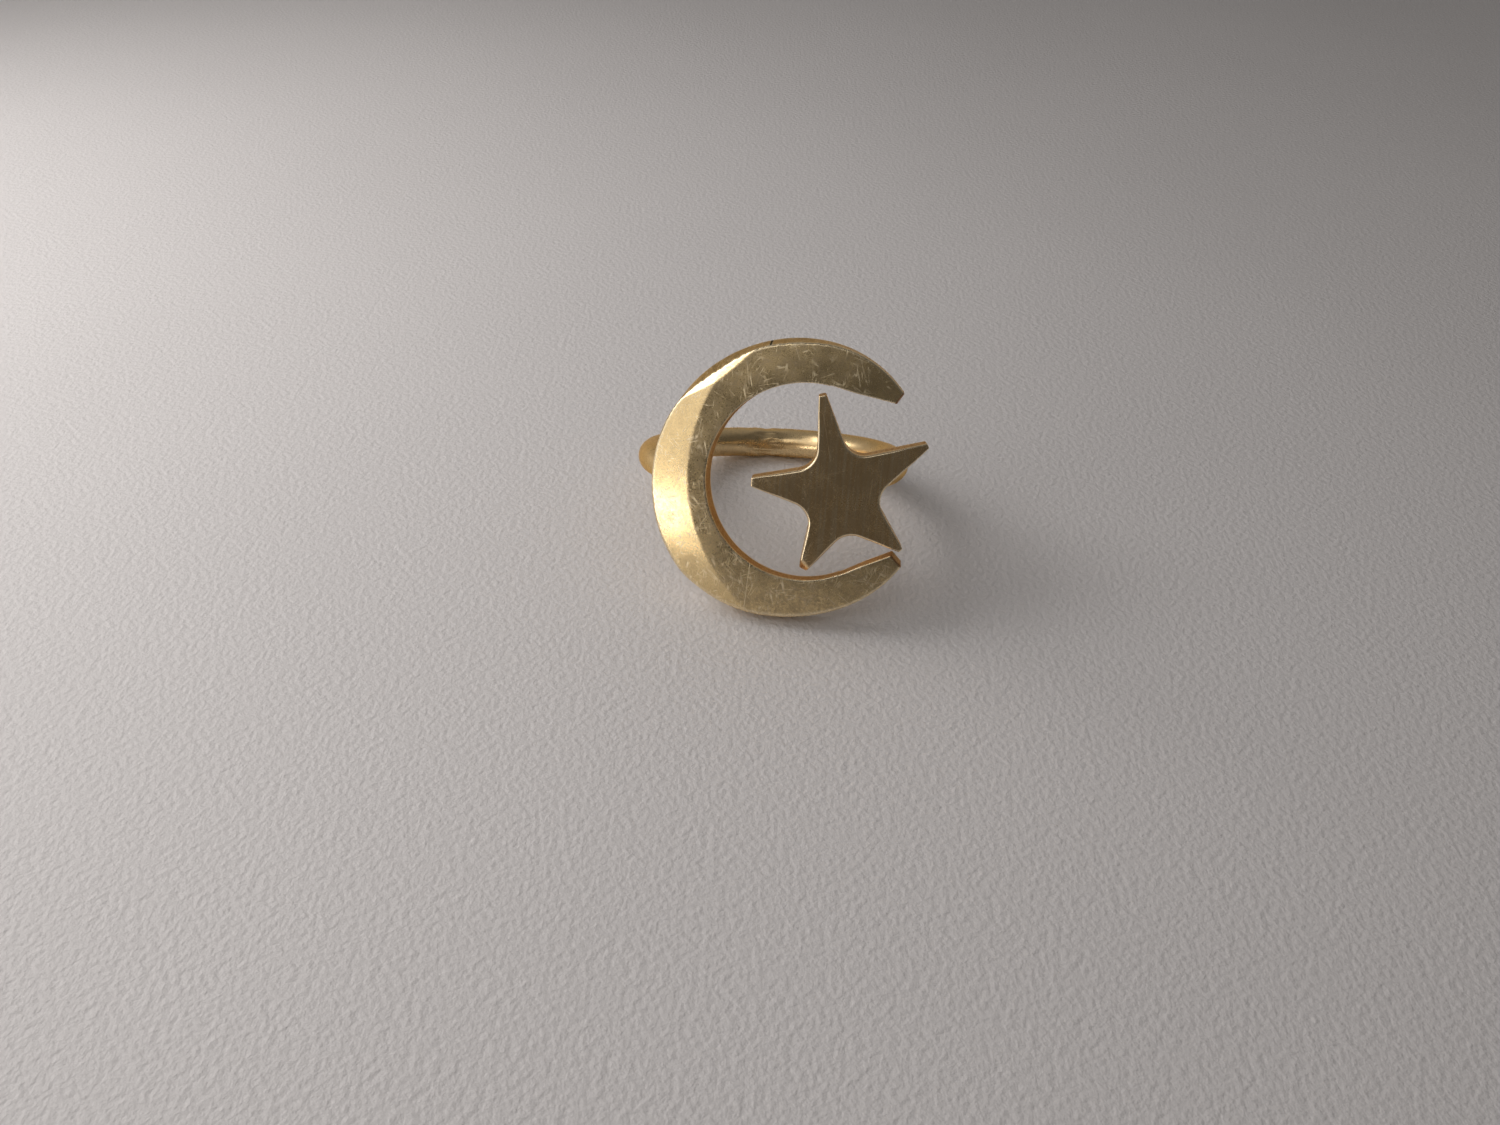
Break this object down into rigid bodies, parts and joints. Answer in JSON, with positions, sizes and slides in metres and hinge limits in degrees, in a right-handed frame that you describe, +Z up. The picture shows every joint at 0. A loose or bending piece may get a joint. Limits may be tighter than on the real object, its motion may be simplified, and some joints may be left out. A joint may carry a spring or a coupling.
{
  "type": "finger ring",
  "caption": "Open finger ring of bent round wire whose ends carry a crescent moon and a five-pointed star cut from sheet, lying on its side.",
  "frame": {"origin": "on the table, under the middle of the ring's bounding box as it lies on its side", "axes": "+X across the head from the moon to the star, +Y along the table away from the head to the back of the shank, +Z up from the table"},
  "size_m": [0.0226, 0.0245, 0.0198],
  "materials": {
    "moon_brass": "worn polish, bright down the broad side, with fine scratches",
    "star_brass": "tarnished, brushed, with bright worn edges",
    "wire_brass": "satin drawn wire",
    "silver_solder": "dull, slightly lumpy"
  },
  "bodies": {
    "root": {"shank_wire": "wire_brass", "moon_plate": "moon_brass", "star_plate": "star_brass", "moon_solder": "silver_solder", "star_solder": "silver_solder"}
  },
  "joints": []
}
